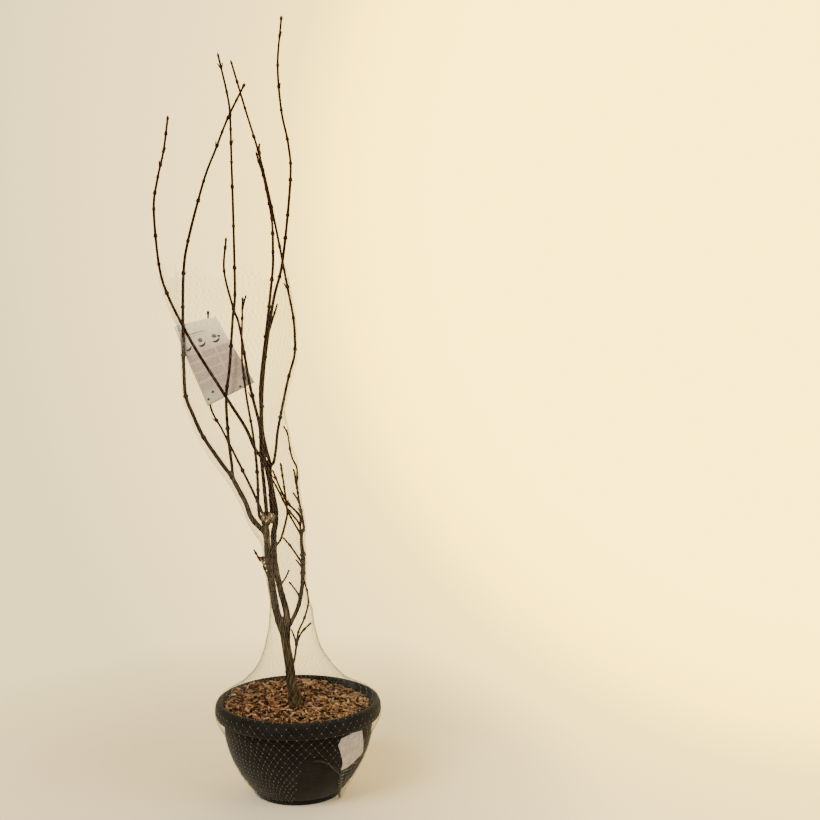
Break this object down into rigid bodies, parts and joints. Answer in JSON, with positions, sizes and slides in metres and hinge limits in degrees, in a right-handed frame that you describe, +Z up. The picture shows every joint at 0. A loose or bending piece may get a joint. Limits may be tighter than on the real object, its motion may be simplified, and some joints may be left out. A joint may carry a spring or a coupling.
{
  "type": "potted japanese maple",
  "caption": "Young bare Japanese maple: slender shoots with paired buds rise from two forked stems above a short leaning trunk in a round black nursery pot with a rolled rim.",
  "frame": {"origin": "middle of the pot's flat underside, on the surface that it stands on", "axes": "+Z up along the plant, +X to the right and +Y away from a viewer who faces the plant's front"},
  "size_m": [0.384, 0.2994, 1.3941],
  "materials": {
    "pot": "satin black moulded plastic, dusty",
    "mix": "loose shredded bark chips",
    "bark": "grey-brown young bark with pale vertical streaks",
    "shoot": "smooth dark reddish-brown bark of young shoots",
    "paper": "blank matt printed-stock sheet"
  },
  "bodies": {
    "root": {"pot": "pot", "potting_mix": "mix", "pot_label": "paper", "care_card": "paper", "trunk": "bark", "left_stem": "bark", "middle_stem": "bark", "right_bough": "bark", "left_bough": "bark", "outer_left_bough": "bark", "leaning_left_bough": "bark", "bowed_right_bough": "bark", "tall_bough": "bark", "middle_bough": "bark", "outer_left_shoot": "shoot", "leaning_left_shoot": "shoot", "bowed_right_shoot": "shoot", "tall_shoot": "shoot", "middle_shoot": "shoot", "inner_left_shoot": "shoot", "rear_left_shoot": "shoot", "short_left_shoot": "shoot", "front_left_shoot": "shoot", "low_middle_shoot": "shoot", "right_shoot": "shoot", "right_spur": "shoot", "middle_spur": "shoot", "broken_spur": "shoot", "low_sucker": "shoot"}
  },
  "joints": []
}
